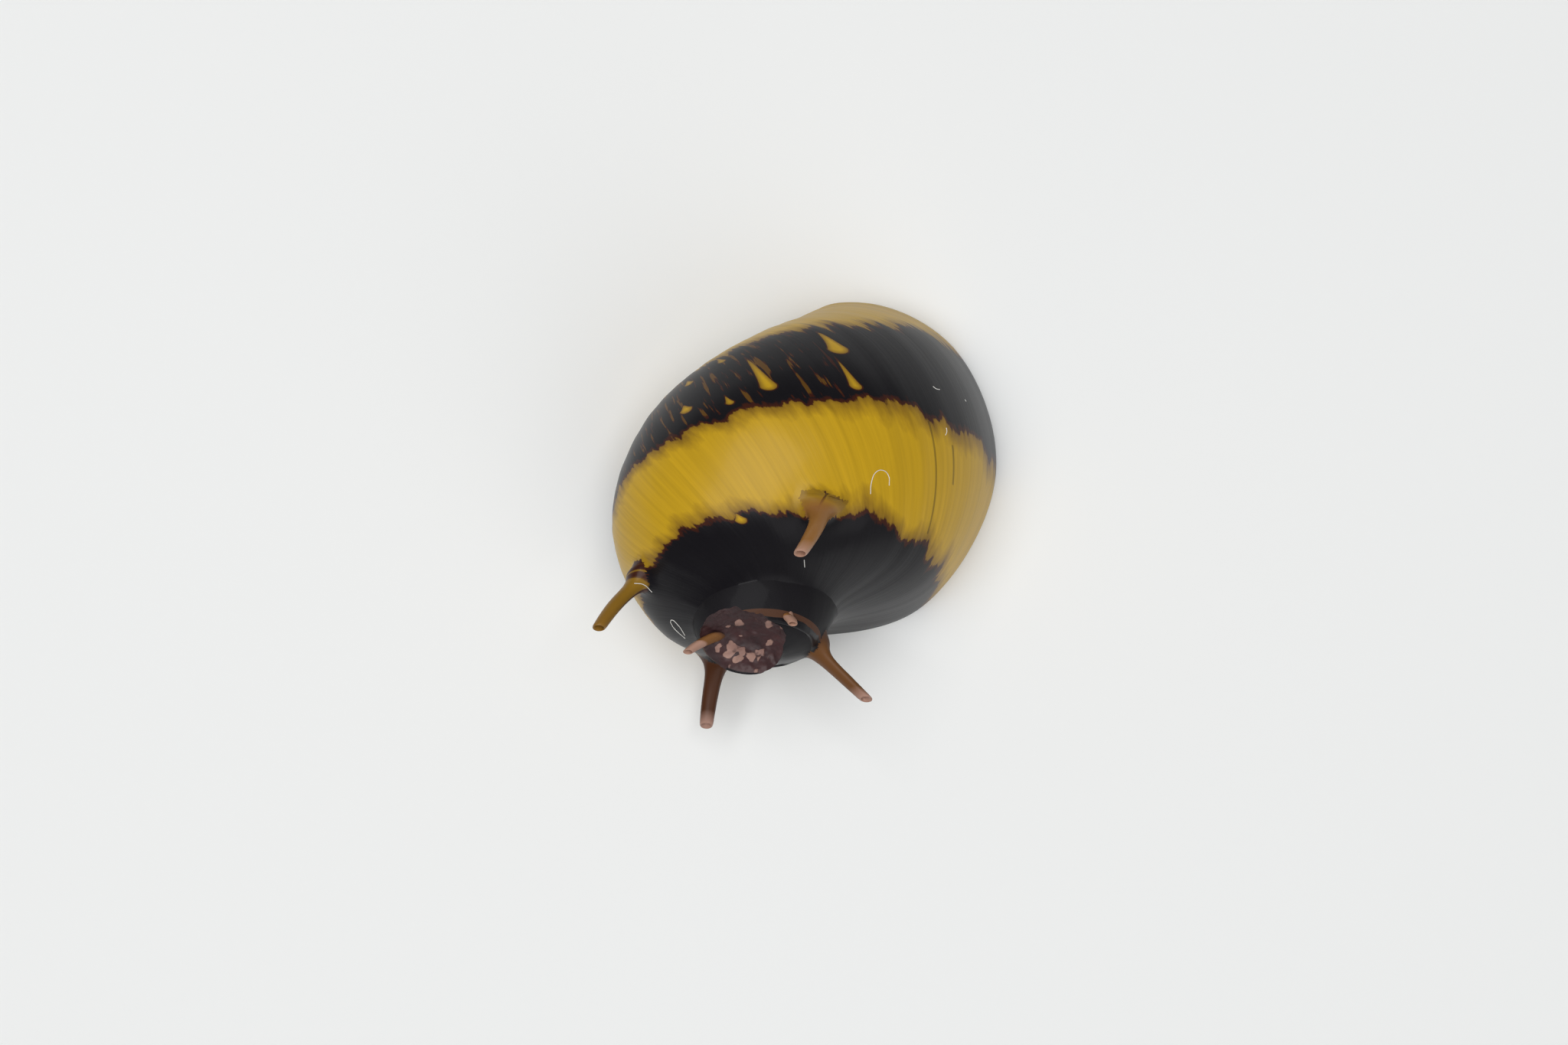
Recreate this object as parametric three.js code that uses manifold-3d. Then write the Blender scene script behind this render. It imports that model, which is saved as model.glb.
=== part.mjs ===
// Horned nerite snail shell: one right-handed coiled shell lying on the flat face of its mouth.
// Millimetres. +Z is up from the plane of the mouth. The spire points to -Y and leans up,
// and the outer lip is on the +X side. The origin is on the flat shelf beside the mouth.

import * as THREE from 'three';
import { LoftGeometry } from 'three/addons/geometries/LoftGeometry.js';
import { mergeVertices } from 'three/addons/utils/BufferGeometryUtils.js';
import Module from 'manifold-3d';

// ---- Driving dimensions ----

const DEGREE = Math.PI / 180;

// The coil shrinks towards its pole, around an axis that points up and out of the spire.
const POLE = new THREE.Vector3( - 1.6, - 8.2, 6.81 );
const AXIS_LEAN = 57.9 * DEGREE;             // from straight up towards -Y
const AXIS_TURN = - 2.8 * DEGREE;            // about +Z

// The coil's size is 1 at the mouth and falls by these rates for each radian back from it.
const EARLY_RATE = 0.13;                     // all along the coil
const EXTRA_RATE = 0.063;                    // added at the mouth
const EXTRA_FADE = 3.58;                     // radians over which the added rate fades

// The tube's outline at the mouth: distance from the coil axis, and distance down it from the pole.
const TUBE = [
	[ 2.28, 2.08 ],      // suture, against the whorl before
	[ 3.56, 3.57 ],      // ramp below the suture
	[ 7.33, 5.57 ],      // shoulder, which carries the horns
	[ 9.51, 10.49 ],     // widest place
	[ 8.26, 15.43 ],     // below the widest place
	[ 4.90, 18.25 ],     // base
	[ 2.61, 17.77 ],     // navel
	[ 0.74, 9.93 ]       // columella
];
const SHOULDER = TUBE[ 2 ];
const SPANS_PER_POINT = 3;

// Degrees back from the mouth: where each stretch of tube ends, and its step.
const TUBE_START = - 96;
const WHORLS = [
	{ to: 240, step: 10.5 },
	{ to: 560, step: 16 },
	{ to: 900, step: 24.2857 }
];

// The chamber is the tube drawn in towards its own middle, and stops half a turn in.
const CHAMBER = { centre: [ 4.9, 10.6 ], scale: 0.86, from: - 120, to: 195, step: 15 };

// The solid pillar on the coil axis, from near the pole down past the mouth: depth and radius.
const PILLAR = [ [ 0.3, 0.06 ], [ 9, 1.8 ], [ 13.4, 0.7 ] ];
const PILLAR_SIDES = 16;

// The callus pad spreads from the flat shelf up the side of the shell: its outline at the shelf
// and where it meets the shell, both as x, y, and how far it has spread at each height.
const CALLUS_LOW = [
	[ - 2.5, - 6.3 ], [ - 3.6, - 4.8 ], [ - 4.1, - 2.8 ], [ - 3.5, - 0.4 ], [ - 2.1, 2.2 ],
	[ - 0.3, 4.7 ], [ 1.8, 6.0 ], [ 2.6, - 0.2 ], [ 0.8, - 5.8 ]
];
const CALLUS_HIGH = [
	[ - 2.6, - 7.3 ], [ - 4.8, - 5.4 ], [ - 6.0, - 2.6 ], [ - 5.3, 0.0 ], [ - 3.5, 2.8 ],
	[ - 1.0, 5.0 ], [ 1.8, 5.4 ], [ 2.6, - 0.2 ], [ 0.8, - 6.6 ]
];
const CALLUS_HEIGHT = 2.6;
const CALLUS_SPREAD = [ [ 0, 0 ], [ 0.35, 0.75 ], [ 1, 1 ] ];

// The shelf that closes the pillar side of the mouth, with small teeth along its straight edge.
const SHELF = { thickness: 1.1, edge: [ [ 0.2, - 7.5 ], [ 2.4, 7.0 ] ] };
const TEETH = { first: 0.38, last: 0.66, count: 4, width: 0.55, depth: 0.25 };

// The horns along the shoulder, from the newest to the oldest. The lean is from straight out
// of the coil towards the spire, and back is how much a horn sweeps away from the mouth.
const HORNS = [
	{ turn: 64, length: 3.1, lean: 76, back: 0.42 },
	{ turn: 163, length: 2.95, lean: 58, back: 0.02 },
	{ turn: 250, length: 2.75, lean: 48, back: 0.12 },
	{ turn: 334, length: 2.9, lean: 38, back: 0.12 },
	{ turn: 409, length: 0.5, lean: 63, back: 0 },
	{ turn: 530, length: 0.8, lean: 45, back: 0 }
];
const HORN = { foot: 0.85, waist: 0.48, tip: 0.27, sides: 10, rings: 6, sunk: 0.7 };

const FAR = 60;                               // well past the shell on every side

// ---- The coil ----

const axis = new THREE.Vector3( 0, - Math.sin( AXIS_LEAN ), Math.cos( AXIS_LEAN ) );
const side = new THREE.Vector3( 1, 0, 0 );
const front = new THREE.Vector3( 0, Math.cos( AXIS_LEAN ), Math.sin( AXIS_LEAN ) );
for ( const v of [ axis, side, front ] ) v.applyAxisAngle( new THREE.Vector3( 0, 0, 1 ), AXIS_TURN );

function sizeAt( turn ) {

	const extra = EXTRA_RATE * EXTRA_FADE * ( 1 - Math.exp( - turn / EXTRA_FADE ) );
	return Math.exp( - EARLY_RATE * turn - extra );

}

// Straight out from the coil axis at a turn.
function outward( turn ) {

	return side.clone().multiplyScalar( Math.cos( turn ) ).addScaledVector( front, Math.sin( turn ) );

}

function coilPoint( radius, depth, turn ) {

	const size = sizeAt( turn );
	return POLE.clone().addScaledVector( outward( turn ), size * radius ).addScaledVector( axis, - size * depth );

}

function smoothLoop( points, count ) {

	const curve = new THREE.CatmullRomCurve3( points, true, 'catmullrom', 0.5 );
	return Array.from( { length: count }, ( _, i ) => curve.getPoint( i / count ) );

}

// The tube's outline as x = radius, y = depth, drawn in towards a centre by a scale.
function tubeOutline( centre, scale ) {

	const points = TUBE.map( ( [ radius, depth ] ) => new THREE.Vector3(
		THREE.MathUtils.lerp( centre[ 0 ], radius, scale ), THREE.MathUtils.lerp( centre[ 1 ], depth, scale ), 0 ) );
	return smoothLoop( points, TUBE.length * SPANS_PER_POINT );

}

// ---- Solids ----

const wasm = await Module();
wasm.setup();

function toSolid( geometry ) {

	const plain = new THREE.BufferGeometry();
	plain.setAttribute( 'position', geometry.attributes.position );
	plain.setIndex( geometry.index );
	const merged = mergeVertices( plain, 1e-4 );
	return new wasm.Manifold( new wasm.Mesh( {
		numProp: 3,
		vertProperties: new Float32Array( merged.attributes.position.array ),
		triVerts: new Uint32Array( merged.index.array )
	} ) );

}

function toGeometry( solid ) {

	const mesh = solid.getMesh();
	const geometry = new THREE.BufferGeometry();
	geometry.setAttribute( 'position', new THREE.BufferAttribute( mesh.vertProperties, 3 ) );
	geometry.setIndex( new THREE.BufferAttribute( mesh.triVerts, 1 ) );
	geometry.computeVertexNormals();
	return geometry;

}

function join( solids ) {

	return solids.reduce( ( sum, solid ) => sum.add( solid ) );

}

function loft( sections ) {

	return toSolid( new LoftGeometry( sections, { capStart: true, capEnd: true } ) );

}

function sweep( outline, turns ) {

	return loft( turns.map( ( turn ) =>
		outline.map( ( point ) => coilPoint( point.x, point.y, turn * DEGREE ) ) ) );

}

function turnsBetween( from, to, step ) {

	const count = Math.round( ( to - from ) / step );
	return Array.from( { length: count + 1 }, ( _, i ) => from + ( to - from ) * i / count );

}

// ---- Pieces of the one shell ----

// Each whorl begins one step inside the whorl before it, so that the two share a stretch exactly.
function makeTube() {

	const outline = tubeOutline( [ 0, 0 ], 1 );
	const stretches = [];
	let turns = [ TUBE_START ];
	for ( const { to, step } of WHORLS ) {

		turns = [ ...turns.slice( - 2 ), ...turnsBetween( turns.at( - 1 ), to, step ).slice( 1 ) ];
		stretches.push( sweep( outline, turns ) );

	}

	return join( stretches );

}

function makePillar() {

	const rings = PILLAR.map( ( [ depth, radius ] ) =>
		Array.from( { length: PILLAR_SIDES }, ( _, i ) => POLE.clone()
			.addScaledVector( axis, - depth )
			.addScaledVector( outward( - 2 * Math.PI * i / PILLAR_SIDES ), radius ) ) );
	return loft( rings );

}

function makeCallus() {

	const sections = CALLUS_SPREAD.map( ( [ height, spread ] ) => {

		const points = CALLUS_LOW.map( ( [ x, y ], i ) => new THREE.Vector3(
			THREE.MathUtils.lerp( x, CALLUS_HIGH[ i ][ 0 ], spread ),
			THREE.MathUtils.lerp( y, CALLUS_HIGH[ i ][ 1 ], spread ),
			CALLUS_HEIGHT * height ) );
		return smoothLoop( points.reverse(), points.length * 3 );

	} );
	return loft( sections );

}

// Everything below the top of the shelf, on the pillar side of its toothed edge.
function makeShelf() {

	const [ start, end ] = SHELF.edge.map( ( [ x, y ] ) => new THREE.Vector2( x, y ) );
	const along = end.clone().sub( start );
	const across = new THREE.Vector2( along.y, - along.x ).normalize();
	const shape = new THREE.Shape().moveTo( - FAR / 2, - FAR / 2 );
	shape.lineTo( start.x - along.x, start.y - along.y );
	for ( let i = 0; i < TEETH.count; i ++ ) {

		const place = THREE.MathUtils.lerp( TEETH.first, TEETH.last, i / ( TEETH.count - 1 ) );
		const root = start.clone().addScaledVector( along, place );
		const half = along.clone().normalize().multiplyScalar( TEETH.width / 2 );
		shape.lineTo( root.x - half.x, root.y - half.y );
		shape.lineTo( root.x + across.x * TEETH.depth, root.y + across.y * TEETH.depth );
		shape.lineTo( root.x + half.x, root.y + half.y );

	}

	shape.lineTo( end.x + along.x, end.y + along.y );
	shape.lineTo( - FAR / 2, FAR / 2 );
	const slab = new THREE.ExtrudeGeometry( shape, { depth: SHELF.thickness + 1, bevelEnabled: false } );
	return toSolid( slab.translate( 0, 0, - 1 ) );

}

function makeChamber() {

	const outline = tubeOutline( CHAMBER.centre, CHAMBER.scale );
	const chamber = sweep( outline, turnsBetween( CHAMBER.from, CHAMBER.to, CHAMBER.step ) );
	return chamber.subtract( makeShelf() );

}

// A horn as rings along a curve that leaves the shoulder and bends towards the spire.
function hornSections( { turn, length, lean, back }, radii, from ) {

	const angle = turn * DEGREE;
	const foot = coilPoint( SHOULDER[ 0 ], SHOULDER[ 1 ], angle );
	const aim = outward( angle ).multiplyScalar( Math.cos( lean * DEGREE ) )
		.addScaledVector( axis, Math.sin( lean * DEGREE ) )
		.addScaledVector( outward( angle + Math.PI / 2 ), back ).normalize();
	const start = outward( angle ).addScaledVector( axis, 0.6 ).normalize();
	const curve = new THREE.QuadraticBezierCurve3(
		foot.clone().addScaledVector( start, - HORN.sunk ),
		foot.clone().addScaledVector( start, length * 0.25 ),
		foot.clone().addScaledVector( aim, length ) );
	const frames = curve.computeFrenetFrames( 40, false );
	return radii.map( ( radius, i ) => {

		const place = THREE.MathUtils.lerp( from, 1, i / ( radii.length - 1 ) );
		const k = Math.round( place * 40 );
		return Array.from( { length: HORN.sides }, ( _, j ) => {

			const around = 2 * Math.PI * j / HORN.sides;
			return curve.getPointAt( k / 40 )
				.addScaledVector( frames.normals[ k ], radius * Math.cos( around ) )
				.addScaledVector( frames.binormals[ k ], radius * Math.sin( around ) );

		} );

	} );

}

function hornRadii( horn ) {

	const girth = Math.min( 1, horn.length / 2.2 );
	return Array.from( { length: HORN.rings }, ( _, i ) => {

		const place = i / ( HORN.rings - 1 );
		const straight = THREE.MathUtils.lerp( HORN.waist, HORN.tip, place );
		const flare = ( HORN.foot - HORN.waist ) * Math.max( 0, 1 - place * 2.2 ) ** 2;
		return ( straight + flare ) * ( 0.6 + 0.4 * girth );

	} );

}

function makeHorns() {

	return join( HORNS.map( ( horn ) => loft( hornSections( horn, hornRadii( horn ), 0 ) ) ) );

}

function makeShell() {

	const below = toSolid( new THREE.BoxGeometry( FAR, FAR, FAR ).translate( 0, 0, - FAR / 2 ) );
	return join( [ makeTube(), makePillar(), makeCallus(), makeHorns() ] )
		.subtract( below )
		.subtract( makeChamber() );

}

const material = new THREE.MeshStandardMaterial( { color: 0x5a4a20, roughness: 0.3, metalness: 0 } );
const shell = new THREE.Mesh( toGeometry( makeShell() ), material );
shell.name = 'shell';

const group = new THREE.Group();
group.add( shell );

export default group;
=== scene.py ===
"""A horned nerite snail shell, grown turn by turn and set on a pale floor."""

import math

import bmesh
import bpy
import numpy as np
from mathutils import Matrix, Vector, noise


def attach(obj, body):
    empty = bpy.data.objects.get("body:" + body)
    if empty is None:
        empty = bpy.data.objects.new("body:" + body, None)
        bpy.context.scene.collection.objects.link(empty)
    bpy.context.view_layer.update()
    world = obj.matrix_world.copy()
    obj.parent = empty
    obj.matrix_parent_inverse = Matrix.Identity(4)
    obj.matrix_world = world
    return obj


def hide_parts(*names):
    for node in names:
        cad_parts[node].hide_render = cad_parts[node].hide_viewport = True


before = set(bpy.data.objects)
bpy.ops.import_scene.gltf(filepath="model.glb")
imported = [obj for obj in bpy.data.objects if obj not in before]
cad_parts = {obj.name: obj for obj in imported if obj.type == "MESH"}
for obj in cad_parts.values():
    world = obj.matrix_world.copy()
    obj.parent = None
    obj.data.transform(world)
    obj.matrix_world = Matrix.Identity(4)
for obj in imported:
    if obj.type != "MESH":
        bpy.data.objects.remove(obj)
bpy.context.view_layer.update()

bl_info = {
    "name": "Horned Nerite Shell",
    "version": (1, 0, 0),
    "blender": (4, 5, 0),
    "location": "View3D > Sidebar > Shell",
    "description": "Grows a banded snail shell with horns, opens its mouth and wears its tip",
    "category": "Add Mesh",
}

MM = 0.001
SHELL = "snail_shell"

# The tube's outline at the mouth: distance from the coil axis, and distance down it from the pole,
# with how many degrees the lip's edge lies from the mouth there, because the lip is cut at a slant.
TUBE = (
    (2.28, 2.08, -78),   # suture, against the whorl before
    (3.56, 3.57, -55),   # ramp below the suture
    (7.33, 5.57, -31),   # shoulder, which carries the horns
    (9.51, 10.49, -8),   # widest place
    (8.26, 15.43, 9),    # below the widest place
    (4.90, 18.25, 31),   # base
    (2.61, 17.77, 45),   # navel
    (0.74, 9.93, 20),    # columella
)
SHOULDER = 2
STEPS_PER_SPAN = 9
RING = len(TUBE) * STEPS_PER_SPAN

# Growth ridges: height in mm, how many in a turn and around the tube, and where their noise starts.
GROWTH_RIPPLES = ((0.05, 14, 3, 0), (0.018, 60, 2, 7))
RIPPLE_FADE = 8         # mm from the pole within which the ridges get lower

# Degrees back from the mouth. The newest turn is grown in finer steps than the older ones.
TUBE_START = -96
FINE_UNTIL = 210
FINE_STEP = 2
COARSE_UNTIL = 930
COARSE_STEP = 4
STRETCHES = ((TUBE_START, 202), (198, 530), (518, 850), (838, COARSE_UNTIL))

# What the chamber's outline shrinks towards, in the outline's table, and its turns in degrees: the
# first, the last and the step.
CHAMBER_CENTRE = (4.9, 10.6)
CHAMBER_TURNS = (-136, 190, 4)

# The pillar down the coil's axis: distance from the pole and radius, in mm.
PILLAR = ((0.3, 0.06), (9, 1.8), (13.4, 0.7))
PILLAR_SIDES = 48

# The callus pad from the flat shelf up the side of the shell: x and y at the shelf, and above it.
CALLUS_LOW = (
    (-2.5, -6.3), (-3.6, -4.8), (-4.1, -2.8), (-3.5, -0.4), (-2.1, 2.2),
    (-0.3, 4.7), (1.8, 6.0), (2.6, -0.2), (0.8, -5.8),
)
CALLUS_HIGH = (
    (-2.6, -7.3), (-4.8, -5.4), (-6.0, -2.6), (-5.3, 0.0), (-3.5, 2.8),
    (-1.0, 5.0), (1.8, 5.4), (2.6, -0.2), (0.8, -6.6),
)
CALLUS_HEIGHT = 2.6
CALLUS_SUNK = 0.2       # mm below the mouth, which the flat cut takes off
CALLUS_STEPS = 8
CALLUS_ROUNDING = 2.2   # how early the pad spreads as it rises: 1 is evenly
SPAN_STEPS = 6          # edges between two points of the callus or chamber outline

# The shelf's straight edge in mm, and the places of its teeth along it, from 0 to 1.
SHELF_EDGE = ((0.2, -7.5), (2.4, 7.0))
TEETH = (0.38, 0.47, 0.57, 0.66)

# Turn in degrees, length in mm, lean towards the spire in degrees, sweep back, colour from
# orange-brown at 0 to dark red-brown at 1, and how much of that colour covers the bands. A cover
# over 1 brings the colour and the pale tip lower down, as on the worn stubs.
HORNS = (
    (64, 3.1, 76, 0.42, 0.1, 0.9),
    (163, 2.95, 58, 0.02, 0.3, 0.15),
    (250, 2.75, 48, 0.12, 0.9, 0.9),
    (334, 2.9, 38, 0.12, 0.6, 0.9),
    (409, 0.5, 63, 0.0, 0.1, 1.6),
    (530, 0.8, 45, 0.0, 0.4, 1.6),
)
HORN_RINGS = 16
HORN_SIDES = 28
HORN_SUNK = 0.7         # mm of root inside the shell
HORN_RISE = 0.6         # how much a horn leaves towards the spire, against straight out
HORN_BEND = 0.25        # share of the length where the horn bends to its own lean
FULL_LENGTH = 2.2       # mm: a shorter horn is thinner too
THIN_SHARE = 0.6        # girth of the very shortest horn
FLARE_END = 2.2         # the foot's flare ends at 1 / this of the length
HORN_BORE = ((0.72, 0.0), (0.6, -0.15), (0.5, -0.9))    # share of the tip's radius, mm past the tip
FOOT_SMOOTHING = 60
FOOT_REACH = 2.0        # mm around a horn's foot that its flare blends into

# Where the worn tip is pitted down to bare lime, and the dust fibres that lie on the shell:
# points in mm seen from above, each run of points one fibre.
PIT_MIDDLE = (-1.9 * MM, -7.4 * MM, 6.4 * MM)
FIBRES = (
    ((3.22, -1.05), (3.25, -0.62), (3.44, -0.20), (3.72, -0.14), (3.93, -0.36), (3.95, -0.72)),
    ((-4.58, -6.08), (-4.52, -5.98), (-4.30, -6.16), (-4.02, -6.60)),
    ((-4.58, -6.08), (-4.44, -6.32), (-4.02, -6.72)),
    ((-5.95, -4.52), (-5.62, -4.56), (-5.28, -4.87)),
    ((6.24, 1.56), (6.26, 1.42), (6.20, 1.27)),
    ((0.66, -3.60), (0.68, -3.88)),
    ((7.05, 2.72), (7.10, 2.66)),
    ((5.73, 3.19), (5.86, 3.10), (6.00, 3.08)),
)
FIBRE_RADIUS = 0.015

# The hollow bitten out of the spire's tip, in the coil frame: half sizes and middle in mm, lean in
# degrees, and the size and height in mm of the lumps on its face.
BITE_SIZE = (2.0, 1.9, 0.8)
BITE_LEAN = -24
BITE_PLACE = (-0.35, 0.5, -0.98)
BITE_GRAINS = ((0.55, 0.22), (0.22, 0.10))

# Light drops in the dark band, by degrees of growth and place across the tube from 0 to 1:
# growth, place, head radius and tail length in mm.
DROPS = (
    (63.5, 0.455, 0.40, 1.5),
    (91.0, 0.406, 0.33, 2.4),
    (66.5, 0.397, 0.24, 1.5),
    (112.5, 0.472, 0.25, 0.5),
    (118.0, 0.413, 0.31, 0.4),
    (97.8, 0.487, 0.20, 0.7),
    (104.5, 0.395, 0.18, 0.5),
    (128.0, 0.242, 0.32, 0.4),
)


def hex_colour(code):
    """An sRGB hex colour as linear red, green and blue."""
    channels = [int(code[i:i + 2], 16) / 255 for i in (1, 3, 5)]
    return tuple(c / 12.92 if c <= 0.04045 else ((c + 0.055) / 1.055) ** 2.4 for c in channels)


# ---- Settings ----


class ShellSizes(bpy.types.PropertyGroup):
    """Sizes of the coil, the mouth and the horns."""

    pole: bpy.props.FloatVectorProperty(
        name="Pole", description="Point that the coil shrinks towards",
        default=(-1.6 * MM, -8.2 * MM, 6.81 * MM), subtype="XYZ", unit="LENGTH")
    axis_lean: bpy.props.FloatProperty(
        name="Axis lean", description="Lean of the coil axis from straight up towards the spire",
        default=math.radians(57.9), subtype="ANGLE", unit="ROTATION")
    axis_turn: bpy.props.FloatProperty(
        name="Axis turn", description="Turn of the coil axis about the vertical",
        default=math.radians(-2.8), subtype="ANGLE", unit="ROTATION")
    early_rate: bpy.props.FloatProperty(
        name="Early growth", description="Growth for each radian, all along the coil", default=0.13)
    extra_rate: bpy.props.FloatProperty(
        name="Late growth", description="Growth for each radian added at the mouth", default=0.063)
    extra_fade: bpy.props.FloatProperty(
        name="Late growth fade", description="Radians over which the added growth fades", default=3.58)
    chamber_scale: bpy.props.FloatProperty(
        name="Chamber scale", description="Size of the chamber as a share of the tube", default=0.87)
    shelf_thickness: bpy.props.FloatProperty(
        name="Shelf thickness", description="Thickness of the flat shelf in the mouth",
        default=1.1 * MM, unit="LENGTH")
    horn_foot: bpy.props.FloatProperty(
        name="Horn foot", description="Radius of a horn where it leaves the shell",
        default=1.45 * MM, unit="LENGTH")
    horn_waist: bpy.props.FloatProperty(
        name="Horn waist", description="Radius of a horn above its foot", default=0.46 * MM, unit="LENGTH")
    horn_tip: bpy.props.FloatProperty(
        name="Horn tip", description="Radius of a horn at its open tip", default=0.27 * MM, unit="LENGTH")


class ShellColours(bpy.types.PropertyGroup):
    """Colours of the shell, the worn tip and the floor."""

    mustard: bpy.props.FloatVectorProperty(
        name="Mustard", description="Light spiral band", default=hex_colour("#C29A1E"), subtype="COLOR")
    olive: bpy.props.FloatVectorProperty(
        name="Olive", description="Light band near its edges", default=hex_colour("#85641C"), subtype="COLOR")
    fringe: bpy.props.FloatVectorProperty(
        name="Fringe", description="Red-brown fringe of the dark bands",
        default=hex_colour("#3C1A10"), subtype="COLOR")
    dark: bpy.props.FloatVectorProperty(
        name="Dark", description="Dark spiral bands", default=hex_colour("#131115"), subtype="COLOR")
    horn_light: bpy.props.FloatVectorProperty(
        name="Light horn", description="Orange-brown horn", default=hex_colour("#9A6A38"), subtype="COLOR")
    horn_dark: bpy.props.FloatVectorProperty(
        name="Dark horn", description="Red-brown horn", default=hex_colour("#3E1C10"), subtype="COLOR")
    keel: bpy.props.FloatVectorProperty(
        name="Keel", description="Rubbed keel of the older whorl", default=hex_colour("#5A3A28"),
        subtype="COLOR")
    fibre: bpy.props.FloatVectorProperty(
        name="Fibre", description="Dust fibres", default=hex_colour("#E4E2DC"), subtype="COLOR")
    worn: bpy.props.FloatVectorProperty(
        name="Worn lime", description="Worn spire tip", default=hex_colour("#4E2A2A"), subtype="COLOR")
    pit: bpy.props.FloatVectorProperty(
        name="Pit", description="Bare lime in the pits", default=hex_colour("#BF9888"), subtype="COLOR")
    porcelain: bpy.props.FloatVectorProperty(
        name="Porcelain", description="Inner wall and shelf", default=hex_colour("#CFCDC4"), subtype="COLOR")
    floor: bpy.props.FloatVectorProperty(
        name="Floor", description="Studio floor", default=hex_colour("#F2F3F2"), subtype="COLOR")


def sizes():
    """The sizes set in the scene."""
    return bpy.context.scene.shell_sizes


def colours():
    """The colours set in the scene."""
    return bpy.context.scene.shell_colours


# ---- The coil, in its own frame: the pole at the origin and the axis along Z ----


def coil_size(turn):
    """Size of the tube at a turn back from the mouth, in radians, where 1 is the mouth."""
    given = sizes()
    late = given.extra_rate * given.extra_fade * (1 - math.exp(-turn / given.extra_fade))
    return math.exp(-given.early_rate * turn - late)


def coil_to_row():
    """From the coil's frame to the frame in which the shell lies on its mouth."""
    given = sizes()
    return (Matrix.Translation(given.pole) @ Matrix.Rotation(given.axis_turn, 4, "Z")
            @ Matrix.Rotation(given.axis_lean, 4, "X"))


def across_tube(place, column):
    """A value of the outline's table at a place across the tube, from 0 to 1 around the outline."""
    count = len(TUBE)
    index = math.floor(place * count)
    share = place * count - index
    before, here, there, after = (TUBE[(index + k) % count][column] for k in (-1, 0, 1, 2))
    return 0.5 * (2 * here + (there - before) * share
                  + (2 * before - 5 * here + 4 * there - after) * share * share
                  + (3 * here - before - 3 * there + after) * share ** 3)


def coil_point(radius, depth, turn):
    """A point of the outline's table, carried back along the coil by a turn."""
    size = coil_size(turn) * MM
    return Vector((radius * size * math.cos(turn), radius * size * math.sin(turn), -depth * size))


# ---- Modelling helpers ----


def select_only(piece):
    """Leaves edit mode and makes one piece both selected and active."""
    if bpy.context.object and bpy.context.object.mode != "OBJECT":
        bpy.ops.object.mode_set(mode="OBJECT")
    bpy.ops.object.select_all(action="DESELECT")
    piece.select_set(True)
    bpy.context.view_layer.objects.active = piece


def apply_modifier(piece, kind, **settings):
    """Adds a modifier with its settings and applies it."""
    select_only(piece)
    modifier = piece.modifiers.new(kind, kind)
    for name, value in settings.items():
        setattr(modifier, name, value)
    bpy.ops.object.modifier_apply(modifier=modifier.name)


def combine(piece, other, operation):
    """Joins or cuts a piece by another solid, which is used up."""
    faces = len(piece.data.polygons)
    apply_modifier(piece, "BOOLEAN", object=other, operation=operation, solver="MANIFOLD",
                   material_mode="TRANSFER")
    if len(piece.data.polygons) == faces:
        raise RuntimeError(f"{other.name} didn't change {piece.name}")
    bpy.data.objects.remove(other)


def outline_ring(name, points, steps):
    """A closed smooth wire through the points, with that many edges between each two."""
    bpy.ops.object.select_all(action="DESELECT")
    bpy.ops.curve.primitive_bezier_circle_add()
    ring = bpy.context.object
    ring.name = name
    ring.data.dimensions = "3D"
    ring.data.resolution_u = steps
    spline = ring.data.splines[0]
    spline.bezier_points.add(len(points) - len(spline.bezier_points))
    for i, knot in enumerate(spline.bezier_points):
        reach = (points[(i + 1) % len(points)] - points[i - 1]) / 6
        knot.handle_left_type = knot.handle_right_type = "FREE"
        knot.co = points[i]
        knot.handle_left = points[i] - reach
        knot.handle_right = points[i] + reach
    bpy.ops.object.convert(target="MESH")
    return bpy.context.object


def sweep_coil(ring, turns):
    """Grows a ring along the coil through the turns, in radians, in edit mode."""
    select_only(ring)
    bpy.ops.object.mode_set(mode="EDIT")
    bpy.ops.mesh.select_all(action="SELECT")
    before = 0
    for i, turn in enumerate(turns):
        if i:
            bpy.ops.mesh.extrude_edges_move()
        ratio = coil_size(turn) / coil_size(before)
        bpy.ops.transform.rotate(value=before - turn, orient_axis="Z", center_override=(0, 0, 0))
        bpy.ops.transform.resize(value=(ratio, ratio, ratio), center_override=(0, 0, 0))
        before = turn
    bpy.ops.object.mode_set(mode="OBJECT")


def map_growth(piece, turns, ring_size):
    """Lays the growth map: turns grown since the lip across, and place around the tube up."""
    growth = piece.data.uv_layers.new(name="growth")
    piece.data.uv_layers.new(name="horn", do_init=False)
    lip = [math.radians(across_tube(j / ring_size, 2)) for j in range(ring_size + 1)]
    for face in piece.data.polygons:
        places = [piece.data.loops[i].vertex_index % ring_size for i in face.loop_indices]
        wraps = max(places) - min(places) > 1
        for i, place in zip(face.loop_indices, places):
            row = piece.data.loops[i].vertex_index // ring_size
            column = ring_size if wraps and place == 0 else place
            growth.data[i].uv = ((turns[row] - lip[column]) / math.tau, column / ring_size)


def cap_ends(piece):
    """Closes a tube's open ends and points its faces outwards."""
    select_only(piece)
    bpy.ops.object.mode_set(mode="EDIT")
    bpy.ops.mesh.select_all(action="SELECT")
    bpy.ops.mesh.fill_holes(sides=0)
    bpy.ops.mesh.select_all(action="SELECT")
    bpy.ops.mesh.normals_make_consistent(inside=False)
    bpy.ops.object.mode_set(mode="OBJECT")


def give_material(piece, name):
    """Gives a piece one material, made on first use and dressed at the end."""
    piece.data.materials.clear()
    piece.data.materials.append(bpy.data.materials.get(name) or bpy.data.materials.new(name))


def turns_between(start, end, step):
    """Turns in radians from evenly spaced degrees, both ends included."""
    return [math.radians(start + i * step) for i in range(round((end - start) / step) + 1)]


# ---- Finishes ----

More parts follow.
